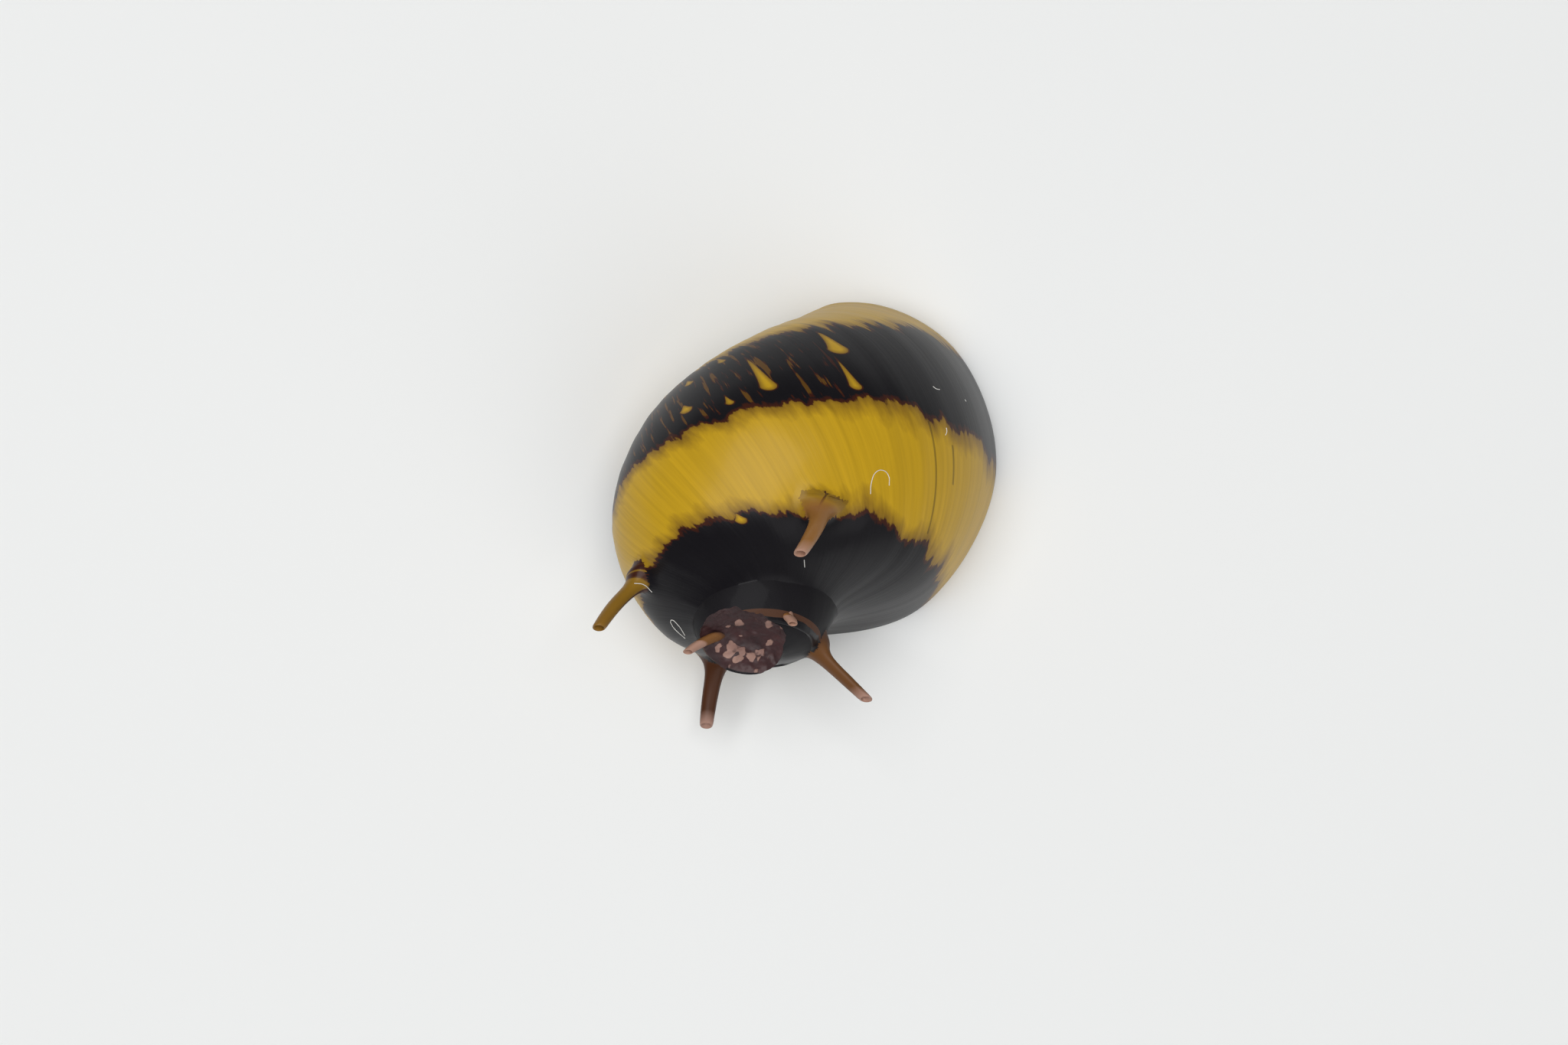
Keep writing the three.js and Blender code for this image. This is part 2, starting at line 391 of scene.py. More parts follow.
WHORL_LENGTH = 46       # mm around the widest turn, for one turn on the growth map
TUBE_GIRTH = 40         # mm around the tube's outline at the mouth
SHOULDER_EDGE = 10.0    # mm around the outline: dark below, light above
WIDE_EDGE = 15.05       # light below, dark above
BASE_EDGE = 20.3        # dark below, light above
ALL_DARK = 20           # mm below the light bands: the older whorls have none
DROP_TAPER = 2          # how much narrower a drop is at the end of its tail
DROP_CRISPNESS = 4      # how much narrower a drop's brown fringe is than a band's

# Grain along the growth lines: how much it is drawn out around the tube, its scale for each mm, its
# detail and where its noise starts. The lines are finer on a real shell, and drawn to show.
FINE_GRAIN = (0.35, 3.4, 4.0)
STREAKY_GRAIN = (0.10, 4.2, 3.0, 5.0)
BROAD_GRAIN = (0.30, 0.75, 2.0, 3.0)
LINE_GRAIN = (0.03, 5.5, 3.0, 9.0)
RIDGE_GRAIN = (0.03, 7.0, 3.0, 2.0)
EDGE_WOBBLE = 2.2       # how far the broad grain moves the bands' edges, in mm
SHOULDER_JAG = 1.0      # how far the grain jags each edge, in mm
WIDE_JAG = 1.1
BASE_JAG = 2.4
STREAK_FROM = 0.105     # grain above this is a light streak in the dark band
STREAK_SLOPE = 6.0
STREAK_LIMITS = (-1, 0.04)      # depth in mm where there are none, and where they are lightest
STREAKS_GROWN = (6.5, 9.5)      # mm grown since the lip over which streaks come in
STREAKS_ACROSS = (14.5, 15.5)   # mm around the outline over which they come in
DARK_FROM = (0.93, 0.99)        # turns back from the lip over which the bands end
KEEL_FROM = (0.98, 1.06)        # turns back from the lip over which the rubbed keel begins
KEEL_STRENGTH = 0.8
KEEL_DULLING = 0.4      # roughness that the older whorls gain
BAND_RANGE = (-1.0, 3.0)        # mm of depth that the bands' colours are spread over
LINE_CONTRAST = 0.45
HORN_COVER = (0.02, 0.3, 0.92)  # share of a horn over which its colour comes in, and its strength
HORN_WORN = (0.78, 0.9, 0.75)   # the same for its pale tip
BANDS_THROUGH = 0.35    # how strongly the bands show through the inner wall

# Worn lime: scales for each metre, so clouds of 0.7 mm and pits of 0.4 mm.
WORN_CLOUDS = 1400.0
PIT_SCALE = 2450.0
PIT_WARP = 0.0006
PIT_REACH = (0.5, 1.3)  # mm from the middle of the pits, and the share of pits at each
PIT_SHARES = (0.85, 0.12)
PIT_RADIUS = (0.44, 0.54)
LAYER_CLOUDS = 700.0    # clouds of 1.4 mm in the porcelain
STAIN_TINT = (0.72, 0.66, 0.52)

# Pauses in growth that left a thin dark line: mm grown since the lip, and its ends around the outline.
PAUSES = ((6.0, 10.5, 14.7), (4.95, 12.7, 14.1))
PAUSE_WIDTH = 0.05      # mm to each side
PAUSE_DARKNESS = 0.45
KEEL_WIDTH = 0.55       # mm to each side of the older whorl's shoulder
SKIN_ROUGHNESS = 0.36


def add_node(material, kind, inputs=None, **settings):
    """Adds a node with its settings, and sets its inputs or links them to a node or a socket."""
    node = material.node_tree.nodes.new(kind)
    for name, value in settings.items():
        setattr(node, name, value)
    for name, value in (inputs or {}).items():
        if isinstance(value, bpy.types.Node):
            value = value.outputs[0]
        if isinstance(value, bpy.types.NodeSocket):
            material.node_tree.links.new(value, node.inputs[name])
        else:
            node.inputs[name].default_value = value
    return node


def start_material(material, shader_values):
    """Switches a material to nodes and sets its shader's values."""
    material.use_nodes = True
    shader = material.node_tree.nodes["Principled BSDF"]
    for name, value in shader_values.items():
        shader.inputs[name].default_value = value
    return shader


def growth_place(material):
    """Millimetres grown since the lip, and millimetres around the tube."""
    growth = add_node(material, "ShaderNodeUVMap", uv_map="growth")
    parts = add_node(material, "ShaderNodeSeparateXYZ", {0: growth})
    along = add_node(material, "ShaderNodeMath", {0: parts.outputs["X"], 1: WHORL_LENGTH},
                     operation="MULTIPLY")
    across = add_node(material, "ShaderNodeMath", {0: parts.outputs["Y"], 1: TUBE_GIRTH},
                      operation="MULTIPLY")
    return along, across


def grain_along_lines(material, along, across, stretch, scale, detail=2.0, shift=0.0):
    """Noise drawn out along the growth lines, from about -0.5 to 0.5."""
    squeezed = add_node(material, "ShaderNodeMath", {0: across, 1: stretch}, operation="MULTIPLY")
    point = add_node(material, "ShaderNodeCombineXYZ", {0: along, 1: squeezed, 2: shift})
    grain = add_node(material, "ShaderNodeTexNoise", {"Vector": point, "Scale": scale, "Detail": detail})
    return add_node(material, "ShaderNodeMath", {0: grain, 1: 0.5}, operation="SUBTRACT")


def light_depth(material, along, across):
    """Millimetres inside the light bands, below 0 in the dark ones, with jagged edges."""
    fine = grain_along_lines(material, along, across, *FINE_GRAIN)
    streaky = grain_along_lines(material, along, across, *STREAKY_GRAIN)
    broad = grain_along_lines(material, along, across, *BROAD_GRAIN)
    wobble = add_node(material, "ShaderNodeMath", {0: broad, 1: EDGE_WOBBLE, 2: across},
                      operation="MULTIPLY_ADD")
    edges = []
    for edge, sign, jag, amount in (
        (SHOULDER_EDGE, 1, fine, SHOULDER_JAG), (WIDE_EDGE, -1, fine, WIDE_JAG),
        (BASE_EDGE, 1, streaky, BASE_JAG),
    ):
        inside = add_node(material, "ShaderNodeMath", {0: wobble, 1: edge}, operation="SUBTRACT")
        inside = add_node(material, "ShaderNodeMath", {0: inside, 1: sign}, operation="MULTIPLY")
        edges.append(add_node(material, "ShaderNodeMath", {0: jag, 1: amount, 2: inside},
                              operation="MULTIPLY_ADD"))
    depth = add_node(material, "ShaderNodeMath", {0: edges[0], 1: edges[1]}, operation="MINIMUM")
    depth = add_node(material, "ShaderNodeMath", {0: depth, 1: edges[2]}, operation="MAXIMUM")
    streaks = add_node(material, "ShaderNodeMath", {0: streaky, 1: STREAK_FROM}, operation="SUBTRACT")
    streaks = add_node(material, "ShaderNodeMath", {0: streaks, 1: STREAK_SLOPE}, operation="MULTIPLY")
    none, most = STREAK_LIMITS
    for place, (start, end) in ((along, STREAKS_GROWN), (across, STREAKS_ACROSS)):
        limit = add_node(material, "ShaderNodeMapRange", {0: place, 1: start, 2: end, 3: none, 4: most},
                         interpolation_type="SMOOTHSTEP")
        streaks = add_node(material, "ShaderNodeMath", {0: streaks, 1: limit}, operation="MINIMUM")
    depth = add_node(material, "ShaderNodeMath", {0: depth, 1: streaks}, operation="MAXIMUM")
    older = add_node(material, "ShaderNodeMapRange", {
        0: along, 1: DARK_FROM[0] * WHORL_LENGTH, 2: DARK_FROM[1] * WHORL_LENGTH, 3: 0, 4: ALL_DARK,
    }, interpolation_type="SMOOTHSTEP")
    depth = add_node(material, "ShaderNodeMath", {0: depth, 1: older}, operation="SUBTRACT")
    for grown, place, head, tail in DROPS:
        middle = grown / 360 * WHORL_LENGTH
        drop = drop_depth(material, along, across, middle, place * TUBE_GIRTH, head, tail)
        depth = add_node(material, "ShaderNodeMath", {0: depth, 1: drop}, operation="MAXIMUM")
    return depth


def drop_depth(material, along, across, middle, height, head, tail):
    """Depth inside one tear-shaped light mark: round at its head, drawn out to a tail above."""
    aside = add_node(material, "ShaderNodeMath", {0: along, 1: middle}, operation="SUBTRACT")
    rise = add_node(material, "ShaderNodeMath", {0: across, 1: height}, operation="SUBTRACT")
    above = add_node(material, "ShaderNodeMath", {0: rise, 1: 0.0}, operation="MAXIMUM")
    below = add_node(material, "ShaderNodeMath", {0: rise, 1: 0.0}, operation="MINIMUM")
    narrowing = add_node(material, "ShaderNodeMath", {0: above, 1: DROP_TAPER / tail, 2: 1.0},
                         operation="MULTIPLY_ADD")
    aside = add_node(material, "ShaderNodeMath", {0: aside, 1: narrowing}, operation="MULTIPLY")
    above = add_node(material, "ShaderNodeMath", {0: above, 1: head / tail}, operation="MULTIPLY")
    shape = add_node(material, "ShaderNodeCombineXYZ", {0: aside, 1: above, 2: below})
    reach = add_node(material, "ShaderNodeVectorMath", {0: shape}, operation="LENGTH").outputs["Value"]
    inside = add_node(material, "ShaderNodeMath", {0: head, 1: reach}, operation="SUBTRACT")
    return add_node(material, "ShaderNodeMath", {0: inside, 1: DROP_CRISPNESS}, operation="MULTIPLY")


def band_colour(material, along, across):
    """Mustard, olive edge, red-brown fringe and dark, with fine growth lines across them."""
    hues = colours()
    depth = light_depth(material, along, across)
    spread = add_node(material, "ShaderNodeMapRange", {
        0: depth, 1: BAND_RANGE[0], 2: BAND_RANGE[1], 3: 0, 4: 1})
    ramp = add_node(material, "ShaderNodeValToRGB", {0: spread})
    stops = (
        (0.19, hues.dark), (0.225, hues.fringe), (0.252, hues.fringe),
        (0.275, hues.olive), (0.50, hues.mustard), (0.80, hues.mustard),
    )
    elements = ramp.color_ramp.elements
    while len(elements) < len(stops):
        elements.new(0.5)
    for element, (place, colour) in zip(elements, stops):
        element.position = place
        element.color = (*colour, 1)
    lines = grain_along_lines(material, along, across, *LINE_GRAIN)
    lines = add_node(material, "ShaderNodeMath", {0: lines, 1: LINE_CONTRAST, 2: 1.0},
                     operation="MULTIPLY_ADD")
    for grown, low, high in PAUSES:
        aside = add_node(material, "ShaderNodeMath", {0: along, 1: grown, 2: PAUSE_WIDTH},
                         operation="COMPARE")
        over = add_node(material, "ShaderNodeMath", {0: across, 1: (low + high) / 2, 2: (high - low) / 2},
                        operation="COMPARE")
        pause = add_node(material, "ShaderNodeMath", {0: aside, 1: over}, operation="MULTIPLY")
        lines = add_node(material, "ShaderNodeMath", {0: pause, 1: -PAUSE_DARKNESS, 2: lines},
                         operation="MULTIPLY_ADD")
    return add_node(material, "ShaderNodeVectorMath", {0: ramp, "Scale": lines}, operation="SCALE")


def dress_banded(material):
    """Periostracum over lime, as grown: a glossy skin with spiral bands and fine growth lines."""
    hues = colours()
    shader = start_material(material, {
        "Roughness": SKIN_ROUGHNESS, "IOR": 1.33, "Specular IOR Level": 0.4,
        "Coat Weight": 0.04, "Coat Roughness": 0.12,
    })
    along, across = growth_place(material)
    colour = band_colour(material, along, across)
    keel = add_node(material, "ShaderNodeMath", {0: across, 1: SHOULDER_EDGE, 2: KEEL_WIDTH},
                    operation="COMPARE")
    older = add_node(material, "ShaderNodeMapRange", {
        0: along, 1: KEEL_FROM[0] * WHORL_LENGTH, 2: KEEL_FROM[1] * WHORL_LENGTH, 3: 0, 4: KEEL_STRENGTH})
    keel = add_node(material, "ShaderNodeMath", {0: keel, 1: older}, operation="MULTIPLY")
    colour = add_node(material, "ShaderNodeMix", {0: keel, 6: colour, 7: (*hues.keel, 1)}, data_type="RGBA")
    colour = colour.outputs[2]
    marks = add_node(material, "ShaderNodeUVMap", uv_map="horn")
    horn = add_node(material, "ShaderNodeSeparateXYZ", {0: marks})
    tint = add_node(material, "ShaderNodeMix", {
        0: horn.outputs["Y"], 6: (*hues.horn_light, 1), 7: (*hues.horn_dark, 1)}, data_type="RGBA")
    worn_tip = add_node(material, "ShaderNodeMapRange", {
        0: horn.outputs["X"], 1: HORN_WORN[0], 2: HORN_WORN[1], 3: 0, 4: HORN_WORN[2]})
    tint = add_node(material, "ShaderNodeMix", {0: worn_tip, 6: tint.outputs[2], 7: (*hues.pit, 1)},
                    data_type="RGBA")
    cover = add_node(material, "ShaderNodeMapRange", {
        0: horn.outputs["X"], 1: HORN_COVER[0], 2: HORN_COVER[1], 3: 0, 4: HORN_COVER[2],
    }, interpolation_type="SMOOTHSTEP")
    colour = add_node(material, "ShaderNodeMix", {0: cover, 6: colour, 7: tint.outputs[2]}, data_type="RGBA")
    material.node_tree.links.new(colour.outputs[2], shader.inputs["Base Color"])
    dull = add_node(material, "ShaderNodeMath", {0: older, 1: KEEL_DULLING, 2: SKIN_ROUGHNESS},
                    operation="MULTIPLY_ADD")
    material.node_tree.links.new(dull.outputs[0], shader.inputs["Roughness"])
    ridges = grain_along_lines(material, along, across, *RIDGE_GRAIN)
    bump = add_node(material, "ShaderNodeBump", {"Strength": 0.2, "Distance": 0.03 * MM, "Height": ridges})
    material.node_tree.links.new(bump.outputs[0], shader.inputs["Normal"])


def dress_inner_wall(material):
    """Porcelain-like inner lime, through which the outer bands show faintly."""
    hues = colours()
    shader = start_material(material, {
        "Roughness": 0.25, "IOR": 1.5, "Coat Weight": 0.3, "Coat Roughness": 0.1})
    along, across = growth_place(material)
    bands = band_colour(material, along, across)
    colour = add_node(material, "ShaderNodeMix", {0: BANDS_THROUGH, 6: (*hues.porcelain, 1), 7: bands},
                      data_type="RGBA")
    material.node_tree.links.new(colour.outputs[2], shader.inputs["Base Color"])


def dress_porcelain(material):
    """Smooth thick lime of the shelf and lip, laid down in soft layers."""
    hues = colours()
    shader = start_material(material, {
        "Roughness": 0.3, "IOR": 1.5, "Coat Weight": 0.3, "Coat Roughness": 0.1})
    place = add_node(material, "ShaderNodeTexCoord")
    clouds = add_node(material, "ShaderNodeTexNoise", {
        "Vector": place.outputs["Object"], "Scale": LAYER_CLOUDS, "Detail": 4.0})
    stain = tuple(v * f for v, f in zip(hues.porcelain, STAIN_TINT))
    colour = add_node(material, "ShaderNodeMix", {0: clouds, 6: (*hues.porcelain, 1), 7: (*stain, 1)},
                      data_type="RGBA")
    material.node_tree.links.new(colour.outputs[2], shader.inputs["Base Color"])


def dress_worn_lime(material):
    """Lime worn bare by water: rough, red-brown, with pale pink pits."""
    hues = colours()
    shader = start_material(material, {"Roughness": 0.55, "IOR": 1.5})
    place = add_node(material, "ShaderNodeTexCoord")
    warp = add_node(material, "ShaderNodeTexNoise", {
        "Vector": place.outputs["Object"], "Scale": WORN_CLOUDS, "Detail": 3.0})
    where = add_node(material, "ShaderNodeMix", {
        0: PIT_WARP, 4: place.outputs["Object"], 5: warp.outputs["Color"]}, data_type="VECTOR")
    cells = add_node(material, "ShaderNodeTexVoronoi", {
        "Vector": where.outputs[1], "Scale": PIT_SCALE, "Smoothness": 0.25}, feature="SMOOTH_F1")
    pick = add_node(material, "ShaderNodeSeparateColor", {0: cells.outputs["Color"]})
    apart = add_node(material, "ShaderNodeVectorMath", {
        0: place.outputs["Object"], 1: PIT_MIDDLE}, operation="DISTANCE")
    near = add_node(material, "ShaderNodeMapRange", {
        0: apart.outputs["Value"], 1: PIT_REACH[0] * MM, 2: PIT_REACH[1] * MM,
        3: PIT_SHARES[0], 4: PIT_SHARES[1]})
    open_share = add_node(material, "ShaderNodeMath", {0: pick.outputs[0], 1: near}, operation="LESS_THAN")
    round_pit = add_node(material, "ShaderNodeMapRange", {
        0: cells.outputs["Distance"], 1: PIT_RADIUS[0], 2: PIT_RADIUS[1], 3: 1, 4: 0})
    bare = add_node(material, "ShaderNodeMath", {0: open_share, 1: round_pit}, operation="MULTIPLY")
    stain = add_node(material, "ShaderNodeMix", {
        0: warp, 6: (*hues.dark, 1), 7: (*hues.worn, 1)}, data_type="RGBA")
    pink = add_node(material, "ShaderNodeMix", {
        0: warp, 6: (*hues.worn, 1), 7: (*hues.pit, 1)}, data_type="RGBA")
    colour = add_node(material, "ShaderNodeMix", {0: bare, 6: stain.outputs[2], 7: pink.outputs[2]},
                      data_type="RGBA")
    material.node_tree.links.new(colour.outputs[2], shader.inputs["Base Color"])
    hollow = add_node(material, "ShaderNodeMath", {0: bare, 1: -0.6, 2: warp}, operation="MULTIPLY_ADD")
    bump = add_node(material, "ShaderNodeBump", {"Strength": 0.6, "Distance": 0.08 * MM, "Height": hollow})
    material.node_tree.links.new(bump.outputs[0], shader.inputs["Normal"])


def dress_fibre(material):
    """Dry plant and cloth dust: pale, matt threads."""
    start_material(material, {"Base Color": (*colours().fibre, 1), "Roughness": 0.7})


# ---- Steps of the shell ----


def raise_growth_lines(piece):
    """Ripples the outer face with low ridges that follow the lip's old edges."""
    mesh = piece.data
    select_only(piece)
    growth = np.zeros(len(mesh.loops) * 2, np.float32)
    mesh.uv_layers["growth"].data.foreach_get("uv", growth)
    corner = np.zeros(len(mesh.loops), np.int32)
    mesh.loops.foreach_get("vertex_index", corner)
    grown = np.zeros(len(mesh.vertices))
    grown[corner] = growth[0::2]
    place = np.zeros(len(mesh.vertices))
    place[corner] = growth[1::2]
    points = np.zeros(len(mesh.vertices) * 3)
    mesh.vertices.foreach_get("co", points)
    points = points.reshape(-1, 3)
    normals = np.zeros(len(mesh.vertices) * 3)
    mesh.vertex_normals.foreach_get("vector", normals)
    ripple = [sum(height * noise.noise(Vector((u * per_turn, v * around, shift)))
                  for height, per_turn, around, shift in GROWTH_RIPPLES) for u, v in zip(grown, place)]
    height = np.array(ripple) * np.minimum(MM, np.linalg.norm(points, axis=1) / RIPPLE_FADE)
    points += normals.reshape(-1, 3) * height[:, None]
    mesh.vertices.foreach_set("co", points.ravel())
    mesh.update()


class SHELL_OT_grow_whorls(bpy.types.Operator):
    """Grows the tube of the shell from its mouth back to its first turns"""

    bl_idname = "shell.grow_whorls"
    bl_label = "Grow whorls"

    def execute(self, context):
        points = [Vector((radius * MM, 0, -depth * MM)) for radius, depth, _ in TUBE]
        tube = outline_ring("tube", points, STEPS_PER_SPAN)
        turns = turns_between(TUBE_START, FINE_UNTIL, FINE_STEP)
        turns += turns_between(FINE_UNTIL, COARSE_UNTIL, COARSE_STEP)[1:]
        sweep_coil(tube, turns)
        map_growth(tube, turns, RING)
        along = tube.data.attributes.new("along", "FLOAT", "POINT")
        for i, value in enumerate(along.data):
            value.value = math.degrees(turns[i // RING])
        apply_modifier(tube, "SUBSURF", levels=1, render_levels=1, uv_smooth="NONE")
        raise_growth_lines(tube)
        whorls = [self.cut_stretch(tube, start, end) for start, end in STRETCHES]
        bpy.data.objects.remove(tube)
        shell = whorls[0]
        for whorl in whorls[1:]:
            combine(shell, whorl, "UNION")
        shell.name = SHELL
        return {"FINISHED"}

    def cut_stretch(self, tube, start, end):
        """A closed solid from the rings of the tube between two turns, in degrees."""
        select_only(tube)
        bpy.ops.object.duplicate()
        part = bpy.context.object
        mesh = bmesh.new()
        mesh.from_mesh(part.data)
        layer = mesh.verts.layers.float["along"]
        outside = [v for v in mesh.verts if not start - 0.1 <= v[layer] <= end + 0.1]
        bmesh.ops.delete(mesh, geom=outside, context="VERTS")
        mesh.to_mesh(part.data)
        mesh.free()
        cap_ends(part)
        give_material(part, "banded")
        return part


def grow_horn(degrees, length, lean, back, tint, cover):
    """A horn as a ring pushed along a curve, then back down inside its tip, in the coil frame."""
    given = sizes()
    turn = math.radians(degrees)
    out = Vector((math.cos(turn), math.sin(turn), 0))
    behind = Vector((-math.sin(turn), math.cos(turn), 0))
    up = Vector((0, 0, 1))
    lean = math.radians(lean)
    aim = (out * math.cos(lean) + up * math.sin(lean) + behind * back).normalized()
    leave = (out + up * HORN_RISE).normalized()
    foot = coil_point(*TUBE[SHOULDER][:2], turn)
    root = foot - leave * HORN_SUNK * MM
    bend = foot + leave * length * HORN_BEND * MM
    tip = foot + aim * length * MM
    girth = THIN_SHARE + (1 - THIN_SHARE) * min(1, length / FULL_LENGTH)
    bpy.ops.object.select_all(action="DESELECT")
    bpy.ops.mesh.primitive_circle_add(vertices=HORN_SIDES, radius=MM, location=root)
    horn = bpy.context.object
    bpy.ops.object.transform_apply(location=True)
    bpy.ops.object.mode_set(mode="EDIT")
    bpy.ops.mesh.select_all(action="SELECT")
    heading, width, place = up, MM, root
    for i in range(HORN_RINGS + 1):
        grown = i / HORN_RINGS
        if i:
            bpy.ops.mesh.extrude_edges_move()
        target = root * (1 - grown) ** 2 + bend * 2 * grown * (1 - grown) + tip * grown * grown
        tangent = ((bend - root) * (1 - grown) + (tip - bend) * grown).normalized()
        flare = 0
        if length > FOOT_REACH:
            flare = (given.horn_foot - given.horn_waist) * max(0, 1 - grown * FLARE_END) ** 2
        radius = (given.horn_waist + (given.horn_tip - given.horn_waist) * grown + flare) * girth
        bpy.ops.transform.translate(value=target - place)
        turn_ring(heading, tangent, target)
        bpy.ops.transform.resize(value=(radius / width,) * 3, center_override=target)
        heading, width, place = tangent, radius, target
    for share, dip in HORN_BORE:
        bpy.ops.mesh.extrude_edges_move()
        bpy.ops.transform.translate(value=tip + tangent * dip * MM - place)
        place = tip + tangent * dip * MM
        ratio = given.horn_tip * girth * share / width
        bpy.ops.transform.resize(value=(ratio,) * 3, center_override=place)
        width = given.horn_tip * girth * share
    bpy.ops.object.mode_set(mode="OBJECT")
    map_horn(horn, turn, tint, cover)
    cap_ends(horn)
    apply_modifier(horn, "SUBSURF", levels=1, render_levels=1, uv_smooth="NONE")
    give_material(horn, "banded")
    return horn


def turn_ring(heading, tangent, centre):
    """Turns the selected ring from facing one way to facing another."""
    turning = heading.rotation_difference(tangent)
    if turning.angle > 1e-6:
        spin = turning.axis.to_track_quat("Z", "Y").to_matrix()
        bpy.ops.transform.rotate(value=-turning.angle, orient_axis="Z", orient_type="GLOBAL",
                                 orient_matrix=spin, orient_matrix_type="GLOBAL", center_override=centre)


def map_horn(horn, turn, tint, cover):
    """Runs the shell's bands up the horn, half on each side of the shoulder's boundary."""
    growth = horn.data.uv_layers.new(name="growth")
    marks = horn.data.uv_layers.new(name="horn")
    base = (turn - math.radians(TUBE[SHOULDER][2])) / math.tau
    points = horn.data.vertices
    behind = Vector((-math.sin(turn), math.cos(turn), 0))
    for loop in horn.data.loops:
        row, place = divmod(loop.vertex_index, HORN_SIDES)
        across = (place + HORN_SIDES // 2) % HORN_SIDES
        side = points[place].co - points[across].co
        around = math.atan2(side.dot(behind), -side.z)
        opposite = row * HORN_SIDES + across
        radius = (points[loop.vertex_index].co - points[opposite].co).length / 2 / MM
        growth.data[loop.index].uv = (base + radius / WHORL_LENGTH * math.sin(around),
                                      SHOULDER / len(TUBE) + radius / TUBE_GIRTH * math.cos(around))
        marks.data[loop.index].uv = (min(1, row / HORN_RINGS) * cover, tint)


class SHELL_OT_grow_horns(bpy.types.Operator):
    """Grows the hollow horns on the shoulder and joins them to the shell"""

    bl_idname = "shell.grow_horns"
    bl_label = "Grow horns"

    def execute(self, context):
        shell = bpy.data.objects[SHELL]
        for horn in HORNS[:-1]:
            combine(shell, grow_horn(*horn), "UNION")
        return {"FINISHED"}


class SHELL_OT_fill_pillar(bpy.types.Operator):
    """Fills the coil's axis, turns the shell onto its mouth and lays the callus beside it"""

    bl_idname = "shell.fill_pillar"
    bl_label = "Fill pillar and callus"

    def execute(self, context):
        shell = bpy.data.objects[SHELL]
        combine(shell, self.pillar(), "UNION")
        select_only(shell)
        shell.matrix_world = coil_to_row()
        bpy.ops.object.transform_apply(location=True, rotation=True, scale=True)
        combine(shell, self.callus(), "UNION")
        return {"FINISHED"}

    def pillar(self):
        """A solid core down the coil's axis, in the coil frame."""
        bpy.ops.object.select_all(action="DESELECT")
        bpy.ops.mesh.primitive_circle_add(vertices=PILLAR_SIDES, radius=MM)
        pillar = bpy.context.object
        bpy.ops.object.mode_set(mode="EDIT")
        bpy.ops.mesh.select_all(action="SELECT")
        depth_before, radius_before = 0, 1
        for i, (depth, radius) in enumerate(PILLAR):
            if i:
                bpy.ops.mesh.extrude_edges_move()
            bpy.ops.transform.translate(value=(0, 0, (depth_before - depth) * MM))
            ratio = radius / radius_before
            bpy.ops.transform.resize(value=(ratio,) * 3, center_override=(0, 0, -depth * MM))
            depth_before, radius_before = depth, radius
        bpy.ops.object.mode_set(mode="OBJECT")
        cap_ends(pillar)
        give_material(pillar, "porcelain")
        return pillar

    def callus(self):
        """The pad of lime that spreads from the shelf up the side of the shell."""
        low = [Vector((x * MM, y * MM, 0)) for x, y in CALLUS_LOW]
        callus = outline_ring("callus", low, SPAN_STEPS)
        select_only(callus)
        bpy.ops.object.mode_set(mode="EDIT")
        bpy.ops.mesh.select_all(action="SELECT")
        bpy.ops.transform.translate(value=(0, 0, -CALLUS_SUNK * MM))
        bpy.ops.mesh.extrude_edges_move()
        bpy.ops.transform.translate(value=(0, 0, CALLUS_SUNK * MM))
        bpy.ops.object.mode_set(mode="OBJECT")
        count = len(callus.data.vertices) // 2
        wide = outline_ring("wide", [Vector((x * MM, y * MM, 0)) for x, y in CALLUS_HIGH], SPAN_STEPS)
        reach = [w.co - v.co for w, v in zip(wide.data.vertices, callus.data.vertices)]
        bpy.data.objects.remove(wide)
        select_only(callus)
        bpy.ops.object.mode_set(mode="EDIT")
        spread_before, height_before = 0, 0
        for step in range(1, CALLUS_STEPS + 1):
            height = step / CALLUS_STEPS
            spread = 1 - (1 - height) ** CALLUS_ROUNDING
            bpy.ops.mesh.extrude_edges_move()
            rise = (height - height_before) * CALLUS_HEIGHT * MM
            bpy.ops.transform.translate(value=(0, 0, rise))
            mesh = bmesh.from_edit_mesh(callus.data)
            mesh.verts.ensure_lookup_table()
            for vertex in mesh.verts[-count:]:
                vertex.co.xy += (spread - spread_before) * reach[vertex.index % count].xy
            bmesh.update_edit_mesh(callus.data)
            height_before, spread_before = height, spread
        bpy.ops.object.mode_set(mode="OBJECT")
        cap_ends(callus)
        give_material(callus, "porcelain")
        return callus


